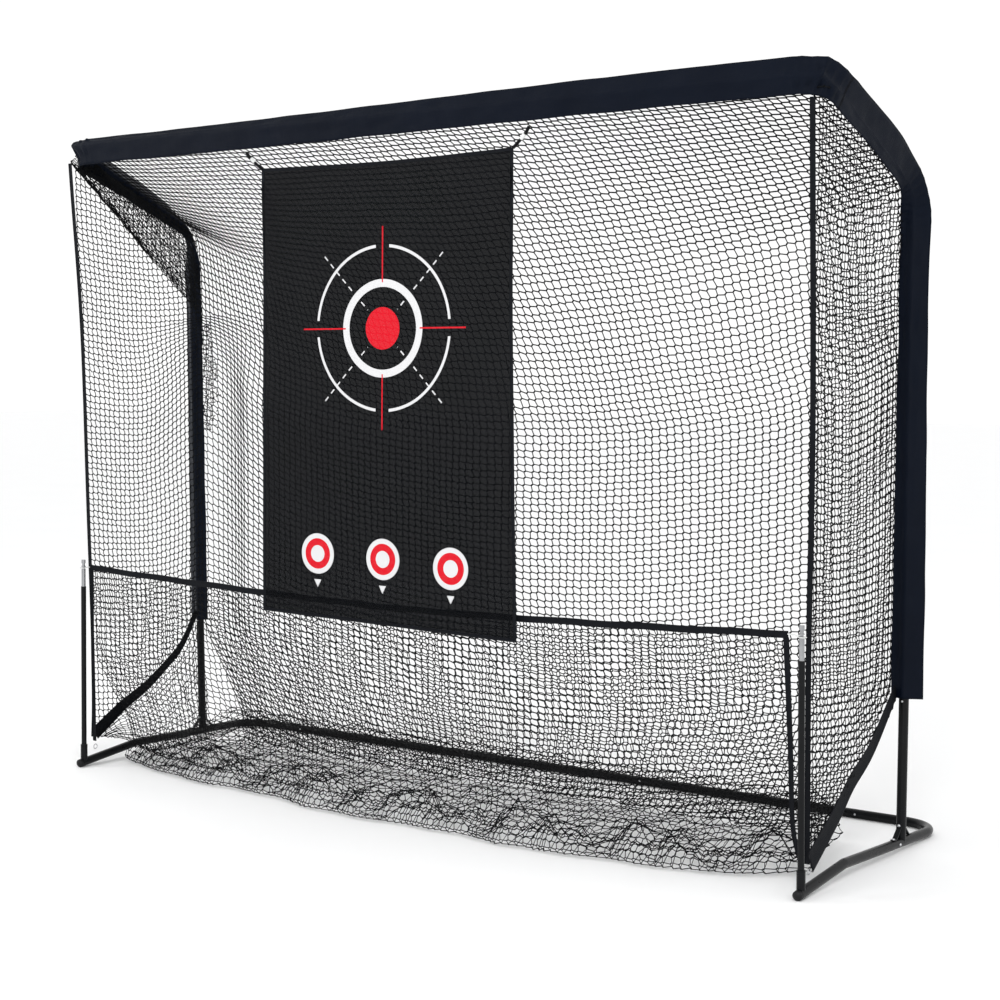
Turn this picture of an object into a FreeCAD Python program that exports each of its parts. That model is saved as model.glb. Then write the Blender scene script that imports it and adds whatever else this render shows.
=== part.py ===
"""Golf chipping net: a knock-down steel tube cage with nets, sleeves and a hanging target cloth.

Millimetres. +Z is up, +X is to the right seen from the player, +Y is away from the player.
The origin is on the floor, midway between the two sides and midway between the feet and the rear bar.
"""

import FreeCAD, Part
import math
import os

V = FreeCAD.Vector

# ---- driving dimensions -------------------------------------------------------------------
DEPTH = 1080.0  # from the front of the end caps to the back of the rear bar
TUBE_R = 16.0  # main steel tube, 32 mm outside
WALL = 1.0
SPIGOT_R = TUBE_R - WALL - 0.2  # swaged end that slides into the next tube
SPIGOT_LENGTH = 55.0

FOOT_X = 1521.0  # side arm at its front end
FOOT_Y = -522.0  # where the steel ends and the cap begins
KINK_X = 1529.0  # the arm is raised a little here, so that it stands on its two ends
KINK_Y = -227.0
KINK_Z = 44.0
CAP_R = 15.4  # end cap, a little slimmer than the tube so that the steel stands on the floor
CORNER_X = 1559.0
CORNER_Y = DEPTH / 2 - TUBE_R
CORNER_R = 120.0
ARM_JOINT_Y = 60.0  # side arm into rear corner tube
REAR_JOINT_X = (420.0, 1240.0)  # joints along the rear bar, either side of the middle

UPRIGHT_Y = 205.0  # where the upright stands on the corner tube
LOWER_JOINT_Z = 524.0  # bare lower upright into the sleeved part
MIDDLE_JOINT_Z = 1700.0
BEND = V(1558.0, 179.0, 2125.0)  # corner of the upright and the forward slope
BEND_R = 150.0
TOP = V(1542.0, -499.0, 2420.0)  # corner of the slope and the top bar
TOP_R = 95.0
SLOPE_JOINT = 0.5  # share of the slope's length at which its two tubes meet
TOP_JOINT_X = 1200.0

POST_R = 10.0
POST_FIT = 0.06  # radial clearance of the post in its socket
POST_Y = -506.0
POST_LEAN = 11.0  # how far the top of the post stands inward of its foot
POST_TOP_Z = 715.0  # top of the black tube
TIP_TOP_Z = 820.0  # top of the bright tip
SOCKET_R = 13.5
SOCKET_TOP_Z = 88.0
POST_FOOT_Z = 37.0

BUTTON_R = 4.0
BUTTON_FIT = 0.06
BUTTON_TRAVEL = 5.0
FLANGE_LOW = 10.4  # from the tube's axis out to the underside of a button's flange

CLOTH = dict(x=-43.0, y=-502.0, width=1075.0, low=686.0, high=2278.0, thick=1.2)
CORD_TOP_Z = 2338.0  # where the target's cords leave the top sleeve
CORD_OUT = 62.0  # how far they spread beyond the cloth's corners
NET = 1.2  # thickness of every net solid
WEBBING = 2.4  # thickness of the bindings and the strap
SLEEVE_CLOTH = 1.6  # thickness of the sleeves

SIDES = (("left", -1), ("right", 1))


# ---- small helpers ------------------------------------------------------------------------
def side_point(point, sign):
    """The point on the left (-1) or right (+1) side of the cage."""
    return V(sign * point.x, point.y, point.z)


def along(start, end, distance):
    """The point at a distance from start towards end."""
    return start + (end - start).normalize() * distance


def rod(start, end, radius):
    """A round bar between two points."""
    run = end - start
    return Part.makeCylinder(radius, run.Length, start, run)


def rounded_path(points, radii):
    """Straight runs joined by tangent arcs: one radius for each inner point."""
    edges = []
    last = points[0]
    for i, radius in enumerate(radii, start=1):
        corner = points[i]
        back = (points[i - 1] - corner).normalize()
        ahead = (points[i + 1] - corner).normalize()
        half = back.getAngle(ahead) / 2
        reach = radius / math.tan(half)
        middle = (back + ahead).normalize()
        centre = corner + middle * (radius / math.sin(half))
        enter = corner + back * reach
        leave = corner + ahead * reach
        edges.append(Part.LineSegment(last, enter).toShape())
        edges.append(Part.Arc(enter, centre - middle * radius, leave).toShape())
        last = leave
    edges.append(Part.LineSegment(last, points[-1]).toShape())
    return Part.Wire(edges)


def bar(points, radius, bends=()):
    """A round bar along straight runs, or runs joined by bends."""
    if not bends:
        return rod(points[0], points[-1], radius)
    run = points[1] - points[0]
    section = Part.Wire([Part.makeCircle(radius, points[0], run)])
    return rounded_path(points, bends).makePipeShell([section], True, False)


def tube(points, radius, wall, bends=()):
    """A hollow tube with open ends."""
    return bar(points, radius, bends).cut(bar(points, radius - wall, bends))


def spigot(mouth, inward):
    """A tube's swaged end: it starts inside its own tube and slides into the next one."""
    direction = V(inward).normalize()
    root = mouth - direction * 4.0
    tip = mouth + direction * SPIGOT_LENGTH
    neck = rod(root, mouth, TUBE_R - WALL / 2).fuse(rod(root, tip, SPIGOT_R))
    return neck.cut(rod(root - direction, tip + direction, SPIGOT_R - WALL))


def with_spigot(body, mouth, inward):
    """A tube with a swaged end joined on at its mouth."""
    return body.fuse(spigot(mouth, inward)).removeSplitter()


def polygon_prism(points, push):
    """A flat polygon swept along a vector."""
    return Part.Face(Part.makePolygon(list(points) + [points[0]])).extrude(push)


def ribbon(points, width, thick):
    """A strap bent in the YZ plane: its centre line, its width along X and its thickness."""
    upper = []
    lower = []
    for i, point in enumerate(points):
        before = points[max(i - 1, 0)]
        after = points[min(i + 1, len(points) - 1)]
        first = (point - before).normalize() if i else (after - point).normalize()
        second = (after - point).normalize() if i < len(points) - 1 else first
        normal = V(0, -(first.z + second.z), first.y + second.y).normalize()
        grow = thick / 2 / max(normal.dot(V(0, -first.z, first.y)), 0.3)
        upper.append(point + normal * grow)
        lower.append(point - normal * grow)
    outline = upper + lower[::-1]
    outline = [p - V(width / 2, 0, 0) for p in outline]
    return polygon_prism(outline, V(width, 0, 0))


def save(name, *solids):
    """Write one node: a single solid, or a group of separate ones."""
    shape = solids[0] if len(solids) == 1 else Part.makeCompound(list(solids))
    shape.exportStep("parts/" + name + ".step")


# ---- the frame's lines --------------------------------------------------------------------
def arm_z(y):
    """Height of the side arm's centre line behind its kink."""
    share = (y - KINK_Y) / (CORNER_Y - KINK_Y)
    return KINK_Z + (TUBE_R - KINK_Z) * share


def arm_x(y):
    """Distance of the side arm from the middle, behind its kink."""
    share = (y - KINK_Y) / (CORNER_Y - KINK_Y)
    return KINK_X + (CORNER_X - KINK_X) * share


FOOT = V(FOOT_X, FOOT_Y, TUBE_R + 0.1)
KINK = V(KINK_X, KINK_Y, KINK_Z)
CORNER = V(CORNER_X, CORNER_Y, TUBE_R)
ARM_JOINT = V(arm_x(ARM_JOINT_Y), ARM_JOINT_Y, arm_z(ARM_JOINT_Y))
STAND = V(arm_x(UPRIGHT_Y), UPRIGHT_Y, arm_z(UPRIGHT_Y))


def upright_at(z):
    """The upright's centre line at a height."""
    return STAND + (BEND - STAND) * ((z - STAND.z) / (BEND.z - STAND.z))


SLOPE_MEET = BEND + (TOP - BEND) * SLOPE_JOINT
LOWER_JOINT = upright_at(LOWER_JOINT_Z)
MIDDLE_JOINT = upright_at(MIDDLE_JOINT_Z)


# ---- snap buttons -------------------------------------------------------------------------
def button_sites():
    """Each snap button: its name, the point on the tube's axis, the tube's way and the button's way."""
    sites = []
    for side, sign in SIDES:
        up_way = side_point(BEND - STAND, sign)
        up_spot = along(LOWER_JOINT, STAND, 28.0)
        sites.append(("upright_" + side, side_point(up_spot, sign), up_way, V(0, -1, 0)))
        for place, x in zip(("inner_", "outer_"), REAR_JOINT_X):
            spot = V(sign * (x - 18.0 if place == "inner_" else x + 18.0), CORNER_Y, TUBE_R)
            sites.append((place + side, spot, V(sign, 0, 0), V(0, -1, 0)))
    return sites


def square_to(way, out):
    """The part of a direction that is square to a tube's way."""
    axis = V(way).normalize()
    return (out - axis * out.dot(axis)).normalize()


def button_hole(spot, way, out):
    """The round hole that a button passes through, out of one side of the tube."""
    normal = square_to(way, out)
    return rod(spot, spot + normal * (TUBE_R + 8.0), BUTTON_R + BUTTON_FIT)


def snap_button(spot, way, out):
    """A domed button with the flange that keeps it in its tube."""
    normal = square_to(way, out)
    stem = rod(spot + normal * FLANGE_LOW, spot + normal * 15.0, BUTTON_R)
    dome = Part.makeSphere(BUTTON_R, spot + normal * 15.0)
    flange = rod(spot + normal * FLANGE_LOW, spot + normal * (FLANGE_LOW + 1.5), BUTTON_R + 1.5)
    return stem.fuse([dome, flange]).removeSplitter()


def button_spring(spot, way, out):
    """The hairpin leaf spring under a button, drawn as it lies with the button pressed."""
    normal = square_to(way, out)
    axis = V(way).normalize()
    cross = normal.cross(axis)
    pieces = []
    pressed = FLANGE_LOW - BUTTON_TRAVEL - 0.8
    for level in (pressed, -11.4):
        base = spot + normal * level - axis * 6.0 - cross * 3.0
        outline = [base, base + axis * 36.0, base + axis * 36.0 + cross * 6.0, base + cross * 6.0]
        pieces.append(polygon_prism(outline, normal * -0.6))
    back = spot - normal * 12.0 + axis * 29.4 - cross * 3.0
    outline = [back, back + axis * 0.6, back + axis * 0.6 + cross * 6.0, back + cross * 6.0]
    pieces.append(polygon_prism(outline, normal * (pressed + 12.0)))
    return pieces[0].fuse(pieces[1:]).removeSplitter()


BUTTONS = button_sites()


def drilled(body, *names):
    """The tube with the holes of the named buttons."""
    for name, spot, way, out in BUTTONS:
        if name in names:
            body = body.cut(button_hole(spot, way, out))
    return body


# ---- base ---------------------------------------------------------------------------------
def foot_cap(sign):
    """Domed plastic plug in the front end of a foot tube."""
    foot = side_point(FOOT, sign)
    way = (foot - side_point(KINK, sign)).normalize()
    plug = rod(foot - way * 14.0, foot + way * 0.1, TUBE_R - WALL - 0.1)
    rim = rod(foot, foot + way * 6.0, CAP_R)
    dome_r = 19.0
    centre = foot + way * (17.8 - dome_r)
    dome = Part.makeSphere(dome_r, centre).common(rod(foot + way * 5.0, foot + way * 20.0, CAP_R))
    return plug.fuse([rim, dome]).removeSplitter()


def foot_tube(sign):
    """Front part of a side arm, from the foot to the kink."""
    foot = side_point(FOOT, sign)
    kink = side_point(KINK, sign)
    body = tube([foot, kink], TUBE_R, WALL)
    return body.cut(socket_bore(sign))


def arm_tube(sign):
    """Middle part of a side arm: a spigot at each end, bent a little at the kink."""
    foot = side_point(FOOT, sign)
    kink = side_point(KINK, sign)
    joint = side_point(ARM_JOINT, sign)
    ahead = (kink - foot).normalize()
    start = kink + ahead * 0.2
    turn = kink + ahead * 14.0
    body = tube([start, turn, joint], TUBE_R, WALL, (60.0,))
    body = with_spigot(body, start, foot - kink)
    return with_spigot(body, joint, joint - kink)


def corner_tube(side, sign):
    """Rear corner of the base, from the side arm round to the rear bar."""
    start = side_point(along(ARM_JOINT, CORNER, 0.3), sign)
    corner = side_point(CORNER, sign)
    end = V(sign * REAR_JOINT_X[1], CORNER_Y, TUBE_R)
    body = tube([start, corner, end], TUBE_R, WALL, (CORNER_R,))
    for brace_bolt in brace_bolts(sign):
        body = body.cut(brace_bolt["hole"])
    return drilled(body, "outer_" + side)


def rear_side_bar(side, sign):
    """Rear bar between its middle part and a corner, with a spigot at each end."""
    inner = V(sign * REAR_JOINT_X[0], CORNER_Y, TUBE_R)
    outer = V(sign * (REAR_JOINT_X[1] - 0.3), CORNER_Y, TUBE_R)
    body = tube([inner, outer], TUBE_R, WALL)
    body = with_spigot(body, inner, V(-sign, 0, 0))
    body = with_spigot(body, outer, V(sign, 0, 0))
    return drilled(body, "inner_" + side, "outer_" + side)


def rear_middle_bar():
    """Middle of the rear bar: both neighbours slide into it."""
    end = REAR_JOINT_X[0] - 0.3
    body = tube([V(-end, CORNER_Y, TUBE_R), V(end, CORNER_Y, TUBE_R)], TUBE_R, WALL)
    return drilled(body, "inner_left", "inner_right")


# ---- uprights and top ---------------------------------------------------------------------
def lower_upright(side, sign):
    """Bare lower tube, coped and welded to the corner tube."""
    stand = side_point(STAND, sign)
    joint = side_point(LOWER_JOINT, sign)
    body = tube([stand, joint], TUBE_R, WALL)
    body = body.cut(rod(side_point(KINK, sign), side_point(CORNER, sign), TUBE_R))
    body = body.cut(Part.makeBox(200, 200, STAND.z, V(stand.x - 100, stand.y - 100, 0)))
    for brace_bolt in brace_bolts(sign):
        body = body.cut(brace_bolt["hole"])
    return drilled(body, "upright_" + side)


def middle_upright(side, sign):
    """Long sleeved part of the upright; its lower spigot slides into the bare tube."""
    low = side_point(LOWER_JOINT + (BEND - STAND).normalize() * 0.3, sign)
    high = side_point(MIDDLE_JOINT, sign)
    body = tube([low, high], TUBE_R, WALL)
    body = with_spigot(body, low, low - high)
    body = with_spigot(body, high, high - low)
    return drilled(body, "upright_" + side)


def bend_tube(sign):
    """Top of the upright, bent forward into the lower half of the slope."""
    start = side_point(MIDDLE_JOINT + (BEND - STAND).normalize() * 0.3, sign)
    meet = side_point(SLOPE_MEET, sign)
    bend = side_point(BEND, sign)
    body = tube([start, bend, meet], TUBE_R, WALL, (BEND_R,))
    return with_spigot(body, meet, meet - bend)


def top_corner_tube(sign):
    """Upper half of the slope, bent inward into the top bar."""
    start = side_point(SLOPE_MEET + (TOP - BEND).normalize() * 0.3, sign)
    top = side_point(TOP, sign)
    end = V(sign * TOP_JOINT_X, TOP.y, TOP.z)
    body = tube([start, top, end], TUBE_R, WALL, (TOP_R,))
    return with_spigot(body, end, end - top)


def top_bar(sign):
    """Half of the top bar; the left half slides into the right half at the middle."""
    outer = V(sign * (TOP_JOINT_X - 0.3), TOP.y, TOP.z)
    if sign > 0:
        return tube([V(0.3, TOP.y, TOP.z), outer], TUBE_R, WALL)
    body = tube([outer, V(0, TOP.y, TOP.z)], TUBE_R, WALL)
    return with_spigot(body, V(0, TOP.y, TOP.z), V(1, 0, 0))


# ---- braces at the foot of each upright ---------------------------------------------------
BRACE_WIDTH = 16.0
BRACE_THICK = 2.5
BRACE_REACH = 62.0  # along the arm, from the upright's centre to the lower bolt
BRACE_HEIGHT = 58.0  # of the upper bolt above the arm
SEAT_RISE = BRACE_THICK / 2 + 0.05
SIDE_BOLT_Y = 166.0


def brace_line(ahead):
    """Centre line of one brace in the YZ plane, in front of (-1) or behind (+1) the upright."""
    gap = TUBE_R + BRACE_THICK / 2 + 0.1
    foot_y = UPRIGHT_Y + ahead * BRACE_REACH
    foot_z = arm_z(foot_y) + gap
    head_z = STAND.z + BRACE_HEIGHT
    lean = (BEND.y - STAND.y) / (BEND.z - STAND.z)
    head_y = UPRIGHT_Y + lean * BRACE_HEIGHT + ahead * (gap + 0.4)
    slope = (arm_z(foot_y + 10.0) - arm_z(foot_y)) / 10.0
    return [
        V(0, foot_y + ahead * 10.0, foot_z + slope * ahead * 10.0),
        V(0, foot_y - ahead * 8.0, foot_z - slope * ahead * 8.0),
        V(0, head_y, head_z - 9.0),
        V(0, head_y, head_z + 9.0),
    ]


def brace_bolts(sign):
    """Both bolts of each brace and one in the tube's outer side: each one's seat, way out and hole."""
    place = V(sign * STAND.x, 0, 0)
    seats = []
    for ahead in (-1, 1):
        line = brace_line(ahead)
        low_out = V(0, line[0].z - line[1].z, line[1].y - line[0].y).normalize() * -ahead
        seats.append(((line[0] + line[1]) * 0.5 + place + low_out * SEAT_RISE, low_out))
        seats.append(((line[2] + line[3]) * 0.5 + place + V(0, ahead * SEAT_RISE, 0), V(0, ahead, 0)))
    side = square_to(side_point(CORNER - KINK, sign), V(sign, 0, 0))
    spot = V(sign * arm_x(SIDE_BOLT_Y), SIDE_BOLT_Y, arm_z(SIDE_BOLT_Y))
    seats.append((spot + side * (TUBE_R + 0.05), side))
    return [dict(seat=s, out=o, hole=rod(s + o * 0.5, s - o * 12.0, 2.6)) for s, o in seats]


def braces(sign):
    """Both steel straps that steady the foot of one upright."""
    straps = []
    for ahead in (-1, 1):
        strap = ribbon(brace_line(ahead), BRACE_WIDTH, BRACE_THICK)
        strap.translate(V(sign * STAND.x, 0, 0))
        for brace_bolt in brace_bolts(sign):
            strap = strap.cut(brace_bolt["hole"])
        straps.append(strap)
    return straps


def bolt(seat, out):
    """A dome-headed bolt standing on its seat."""
    head = Part.makeSphere(5.5, seat - out * 1.5).common(rod(seat, seat + out * 5.0, 6.0))
    shank = rod(seat, seat - out * 8.0, 2.5)
    return head.fuse(shank).removeSplitter()


# ---- front posts --------------------------------------------------------------------------
def post_point(z, sign):
    """The post's centre line at a height."""
    share = z / TIP_TOP_Z
    return V(sign * (FOOT_X + 0.4 - POST_LEAN * share), POST_Y, z)


def socket_bore(sign):
    """The space inside a post's socket."""
    return rod(post_point(POST_FOOT_Z - 1.0, sign), post_point(SOCKET_TOP_Z + 1.0, sign), POST_R + POST_FIT)


def post_socket(sign):
    """Stub welded on top of the foot tube."""
    body = rod(post_point(TUBE_R + 4.0, sign), post_point(SOCKET_TOP_Z, sign), SOCKET_R)
    body = body.cut(rod(side_point(FOOT, sign), side_point(KINK, sign), TUBE_R))
    top_half = Part.makeBox(60, 60, 90, V(sign * FOOT_X - 30, POST_Y - 30, TUBE_R + 4.0))
    return body.common(top_half).cut(socket_bore(sign))


def front_post(sign):
    """Thin black post that lifts out of its socket."""
    return tube([post_point(POST_FOOT_Z, sign), post_point(POST_TOP_Z, sign)], POST_R, WALL)


def post_tip(sign):
    """Bright turned tip with a groove under its knob."""
    steps = (
        (POST_TOP_Z - 25.0, POST_TOP_Z, POST_R - WALL - 0.1),
        (POST_TOP_Z, 784.0, 8.0),
        (784.0, 792.0, 5.0),
        (792.0, 796.0, 8.0),
        (796.0, 806.0, 5.6),
        (806.0, TIP_TOP_Z, 8.0),
    )
    pieces = [rod(post_point(a, sign), post_point(b, sign), r) for a, b, r in steps]
    return pieces[0].fuse(pieces[1:])


# ---- sleeves ------------------------------------------------------------------------------
TOP_SLEEVE = ((-19, 10), (-11, 19), (11, 19), (19, 10), (19, -12), (3, -74), (-3, -74), (-19, -12))
FLAT_SLEEVE = ((-54, -2), (-18, -19), (18, -19), (44, -2), (44, 2), (18, 19), (-18, 19), (-54, 2))
SLOPE_SLEEVE = ((-42, -2), (-18, -19), (18, -19), (80, -2), (80, 2), (18, 19), (-18, 19), (-42, 2))
SLOPE_TURN = 69.0  # degrees that the slope's sleeve is turned, its wide outer edge upward
SLEEVE_TURN = 18.0  # degrees that the upright's sleeve is turned, its outer edge to the rear


def sleeve(start, end, profile, across, up):
    """A cloth sleeve along a tube: an outline round it, hollow inside."""
    run = end - start
    outline = [start + across * a + up * b for a, b in profile]
    wire = Part.makePolygon(outline + [outline[0]])
    inner = wire.makeOffset2D(-SLEEVE_CLOTH, 2)
    return Part.Face([wire, inner]).extrude(run)


def top_sleeve():
    """Deep sleeve over the top bar."""
    end = V(TOP.x - 120.0, TOP.y, TOP.z)
    return sleeve(side_point(end, -1), end, TOP_SLEEVE, V(0, 1, 0), V(0, 0, 1))


def slope_sleeve(sign):
    """Sleeve over the forward slope; its wide edge stands up, outside the tube."""
    low = side_point(along(BEND, TOP, 106.0), sign)
    high = side_point(along(TOP, BEND, 125.0), sign)
    way = (high - low).normalize()
    turn = math.radians(SLOPE_TURN)
    across = square_to(way, V(sign, 0, 0)) * math.cos(turn) + square_to(way, V(0, 0, 1)) * math.sin(turn)
    across.normalize()
    return sleeve(low, high, SLOPE_SLEEVE, across, way.cross(across))


def upright_sleeve(sign):
    """Sleeve over the upright, open at the bottom round the bare tube."""
    low = side_point(upright_at(505.0), sign)
    high = side_point(upright_at(2008.0), sign)
    way = (high - low).normalize()
    turn = math.radians(SLEEVE_TURN)
    across = square_to(way, V(sign * math.cos(turn), math.sin(turn), 0))
    return sleeve(low, high, FLAT_SLEEVE, across, way.cross(across))


# ---- nets and webbing ---------------------------------------------------------------------
BINDING_TOP = V(1532.0, -503.0, 2340.0)
BINDING_MIDDLE = V(1516.0, -466.0, 790.0)
BINDING_FOOT = V(1514.0, -455.0, 96.0)
BINDING_WIDTH = 18.0
DIAGONAL_WIDTH = 44.0
DIAGONAL_X = 1524.0
DIAGONAL_TOP = (118.0, 500.0)  # Y and Z of its upper end, by the sleeve's lower end
DIAGONAL_FOOT = (-428.0, 104.0)
SIDE_NET_X = 1518.0
BACK_NET_Y = 207.0
BACK_NET_X = 1468.0
STRAP_Y = -486.0
STRAP_X = 1470.0
STRAP_Z = 798.0
STRAP_SAG = 38.0
STRAP_HEIGHT = 22.0
BARRIER_FOOT_Y = -500.0
FLOOR_NET_X = 1420.0
FLOOR_NET_Y = (-520.0, 190.0)
FLOOR_NET_HEIGHT = 4.0


def front_binding(sign):
    """Webbing down the front edge of a side net, in two straight stretches."""
    half = V(BINDING_WIDTH / 2, 0, 0)
    line = [BINDING_TOP, BINDING_MIDDLE, BINDING_FOOT]
    stretches = []
    for upper, lower in zip(line, line[1:]):
        outline = [side_point(p, sign) for p in (upper - half, upper + half, lower + half, lower - half)]
        stretches.append(polygon_prism(outline, V(0, WEBBING, 0)))
    return stretches[0].fuse(stretches[1]).removeSplitter()


def diagonal_edges():
    """The diagonal webbing's centre line and half width, in the YZ plane."""
    high = V(0, *DIAGONAL_TOP)
    low = V(0, *DIAGONAL_FOOT)
    way = (high - low).normalize()
    return low, high, V(0, -way.z, way.y) * (DIAGONAL_WIDTH / 2)


def diagonal_binding(sign):
    """Wide webbing from the foot of the upright's sleeve down to the front foot."""
    low, high, half = diagonal_edges()
    place = V(sign * DIAGONAL_X, 0, 0)
    outline = [p + place for p in (low - half, high - half, high + half, low + half)]
    return polygon_prism(outline, V(sign * WEBBING, 0, 0))


def side_net(sign):
    """Net across one side, between the front webbing, the sleeves and the diagonal webbing."""
    low, high, half = diagonal_edges()
    slope = TOP - BEND
    front_top = TOP - slope * (90.0 / slope.Length) - V(0, 0, 40.0)
    rear_top = BEND + V(0, -35.0, -60.0)
    outline = [
        V(0, BINDING_TOP.y + 12.0, front_top.z),
        V(0, rear_top.y, rear_top.z),
        V(0, high.y, high.z + 34.0),
        V(0, low.y, low.z + 34.0),
        V(0, BINDING_MIDDLE.y + 12.0, BINDING_MIDDLE.z),
    ]
    place = V(sign * SIDE_NET_X, 0, 0)
    return polygon_prism([p + place for p in outline], V(-sign * NET, 0, 0))


def roof_net():
    """Net under the two slopes, from the top bar back to the bends."""
    run = TOP - BEND
    high = along(TOP, BEND, 60.0) - V(0, 0, 24.0)
    low = along(BEND, TOP, 40.0) - V(0, 0, 24.0)
    outline = [V(s * BACK_NET_X, p.y, p.z) for s, p in ((-1, high), (1, high), (1, low), (-1, low))]
    return polygon_prism(outline, V(0, run.z, -run.y).normalize() * -NET)


def back_net():
    """Impact net across the back, from the bends down to the floor."""
    return Part.makeBox(2 * BACK_NET_X, NET, BEND.z - 75.0, V(-BACK_NET_X, BACK_NET_Y, 14.0))


def barrier_strap():
    """Webbing along the barrier's top edge, sagging a little between its ends."""
    upper = [V(-STRAP_X, STRAP_Y, STRAP_Z), V(0, STRAP_Y, STRAP_Z - STRAP_SAG), V(STRAP_X, STRAP_Y, STRAP_Z)]
    lower = [p - V(0, 0, STRAP_HEIGHT) for p in upper[::-1]]
    return polygon_prism(upper + lower, V(0, WEBBING, 0))


def barrier_net():
    """Low net across the front, from the strap down to the floor."""
    top = STRAP_Z - STRAP_SAG - STRAP_HEIGHT - 1.0
    width = STRAP_X - 30.0
    corners = ((-width, STRAP_Y, top), (width, STRAP_Y, top))
    outline = [V(*c) for c in corners] + [V(width, BARRIER_FOOT_Y, 12.0), V(-width, BARRIER_FOOT_Y, 12.0)]
    return polygon_prism(outline, V(0, NET, 0))


def barrier_binding(sign):
    """Webbing down one end of the barrier."""
    outer = STRAP_X - 8.0
    top = STRAP_Z - STRAP_HEIGHT - 2.0
    reach = ((outer - 18.0, STRAP_Y, top), (outer, STRAP_Y, top), (outer + 40.0, STRAP_Y, 112.0))
    outline = [V(sign * x, y, z) for x, y, z in reach + ((outer + 22.0, STRAP_Y, 112.0),)]
    return polygon_prism(outline, V(0, WEBBING, 0))


def floor_net():
    """Slack of the net lying on the floor as a catch, between the barrier and the back."""
    front, rear = FLOOR_NET_Y
    return Part.makeBox(2 * FLOOR_NET_X, rear - front, FLOOR_NET_HEIGHT, V(-FLOOR_NET_X, front, 0))


def corner_link(sign):
    """Small steel ring that ties the webbing's lower corner to the front foot."""
    ring = Part.makeTorus(9.0, 1.6, V(0, 0, 0), V(1, 0, 0))
    ring.translate(V(sign * 1519.0, -446.0, 70.0))
    return ring


# ---- target -------------------------------------------------------------------------------
def cloth_corner(sign):
    """Upper corner of the target cloth."""
    return V(CLOTH["x"] + sign * CLOTH["width"] / 2, CLOTH["y"] + CLOTH["thick"] / 2, CLOTH["high"])


def target_cloth():
    """The printed cloth, hung from its two upper corners."""
    low = V(CLOTH["x"] - CLOTH["width"] / 2, CLOTH["y"], CLOTH["low"])
    return Part.makeBox(CLOTH["width"], CLOTH["thick"], CLOTH["high"] - CLOTH["low"], low)


def cord_line(sign):
    """The cord from the cloth's corner up to the sleeve: corner, clip's two ends, top."""
    corner = cloth_corner(sign) + V(sign * 1.0, 0, 4.0)
    top = V(corner.x + sign * CORD_OUT, corner.y, CORD_TOP_Z)
    return corner, along(corner, top, 40.0), along(corner, top, 58.0), top


def target_cords():
    """Two short cords, each in two lengths, below and above its clip."""
    pieces = []
    for _, sign in SIDES:
        corner, low, high, top = cord_line(sign)
        pieces += [rod(corner, low, 3.0), rod(high, top, 3.0)]
    return pieces


def target_clips():
    """The light-coloured clip in the middle of each cord."""
    clips = []
    for _, sign in SIDES:
        corner, low, high, top = cord_line(sign)
        clips.append(rod(low, high, 4.2))
    return clips


# ---- write every node ---------------------------------------------------------------------
os.makedirs("parts", exist_ok=True)

for side, sign in SIDES:
    save("foot_cap_" + side, foot_cap(sign))
    save("foot_tube_" + side, foot_tube(sign))
    save("arm_tube_" + side, arm_tube(sign))
    save("corner_tube_" + side, corner_tube(side, sign))
    save("rear_bar_" + side, rear_side_bar(side, sign))
    save("post_socket_" + side, post_socket(sign))
    save("front_post_" + side, front_post(sign))
    save("post_tip_" + side, post_tip(sign))
    save("upright_lower_" + side, lower_upright(side, sign))
    save("upright_middle_" + side, middle_upright(side, sign))
    save("bend_tube_" + side, bend_tube(sign))
    save("top_corner_tube_" + side, top_corner_tube(sign))
    save("top_bar_" + side, top_bar(sign))
    save("upright_braces_" + side, *braces(sign))
    save("slope_sleeve_" + side, slope_sleeve(sign))
    save("upright_sleeve_" + side, upright_sleeve(sign))
    save("front_binding_" + side, front_binding(sign))
    save("diagonal_binding_" + side, diagonal_binding(sign))
    save("side_net_" + side, side_net(sign))

save("rear_bar_middle", rear_middle_bar())
save("brace_bolts", *[bolt(b["seat"], b["out"]) for _, sign in SIDES for b in brace_bolts(sign)])
save("top_sleeve", top_sleeve())
save("roof_net", roof_net())
save("back_net", back_net())
save("barrier_strap", barrier_strap())
save("barrier_net", barrier_net())
save("barrier_bindings", *[barrier_binding(sign) for _, sign in SIDES])
save("floor_net", floor_net())
save("corner_links", *[corner_link(sign) for _, sign in SIDES])
save("target_cloth", target_cloth())
save("target_cords", *target_cords())
save("target_clips", *target_clips())

for name, spot, way, out in BUTTONS:
    save("snap_button_" + name, snap_button(spot, way, out))
save("button_springs", *[button_spring(spot, way, out) for _, spot, way, out in BUTTONS])
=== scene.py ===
"""Golf chipping net: the cloth, webbing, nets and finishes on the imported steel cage.

Metres, in the model's own frame: +X to the player's right, +Y away from the player, +Z up.
"""

import math

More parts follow.
